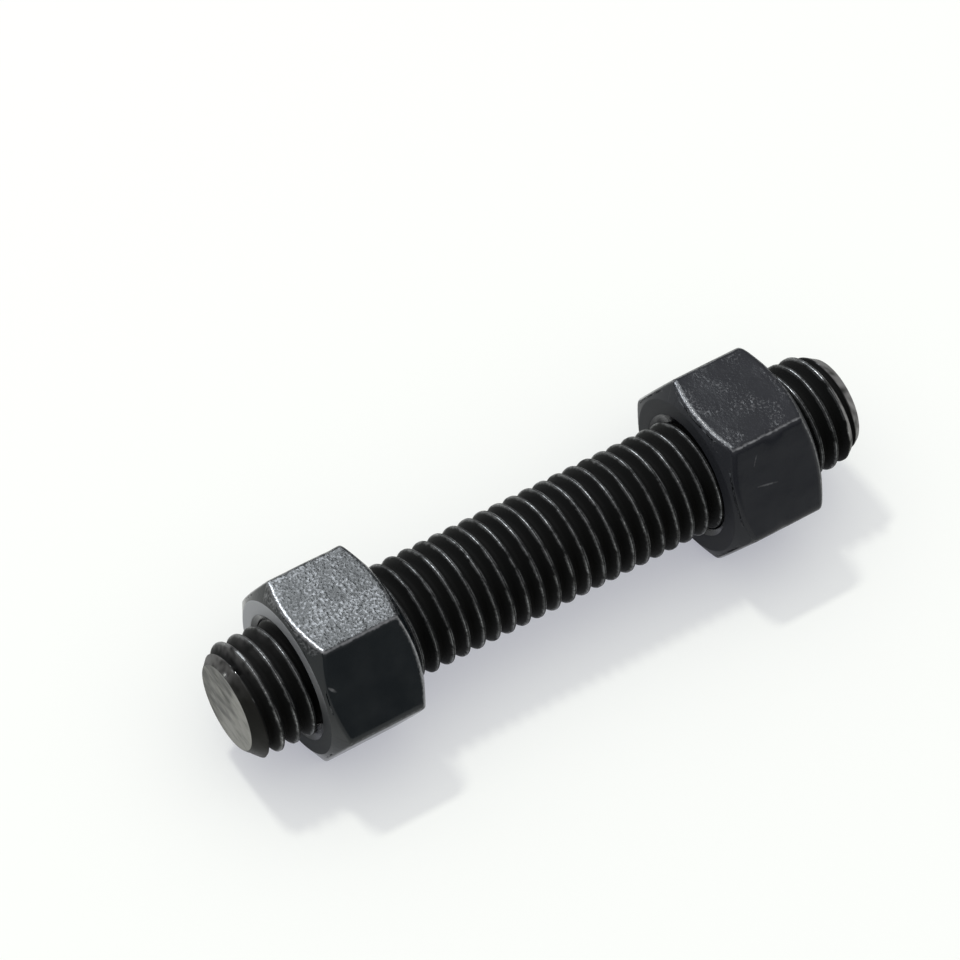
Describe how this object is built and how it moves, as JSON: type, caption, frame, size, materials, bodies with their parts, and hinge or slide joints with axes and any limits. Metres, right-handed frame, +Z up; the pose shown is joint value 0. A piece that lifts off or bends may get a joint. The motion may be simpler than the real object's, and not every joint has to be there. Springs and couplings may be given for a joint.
{
  "type": "stud bolt",
  "caption": "Fully threaded steel stud with a chamfered hexagon nut run onto each end, for clamping flanges or plates between the nuts.",
  "frame": {"origin": "on the stud's axis, midway between its two ends", "axes": "+X along the stud from the near nut to the far nut, +Z up and square to the nuts' level flats, +Y level and to the back"},
  "size_m": [0.071, 0.0206, 0.018],
  "materials": {
    "stud_steel": "oiled black oxide over rolled thread",
    "nut_steel": "oiled black oxide over hot forged flats"
  },
  "bodies": {
    "stud": {"stud": "stud_steel"},
    "near_nut": {"near_nut": "nut_steel"},
    "far_nut": {"far_nut": "nut_steel"}
  },
  "joints": [
    {"name": "near_nut_travel", "type": "slide", "parent": "stud", "child": "near_nut", "axis": [1, 0, 0], "range_m": [-0.014, 0.0175]},
    {"name": "far_nut_travel", "type": "slide", "parent": "stud", "child": "far_nut", "axis": [-1, 0, 0], "range_m": [-0.014, 0.0175]}
  ]
}
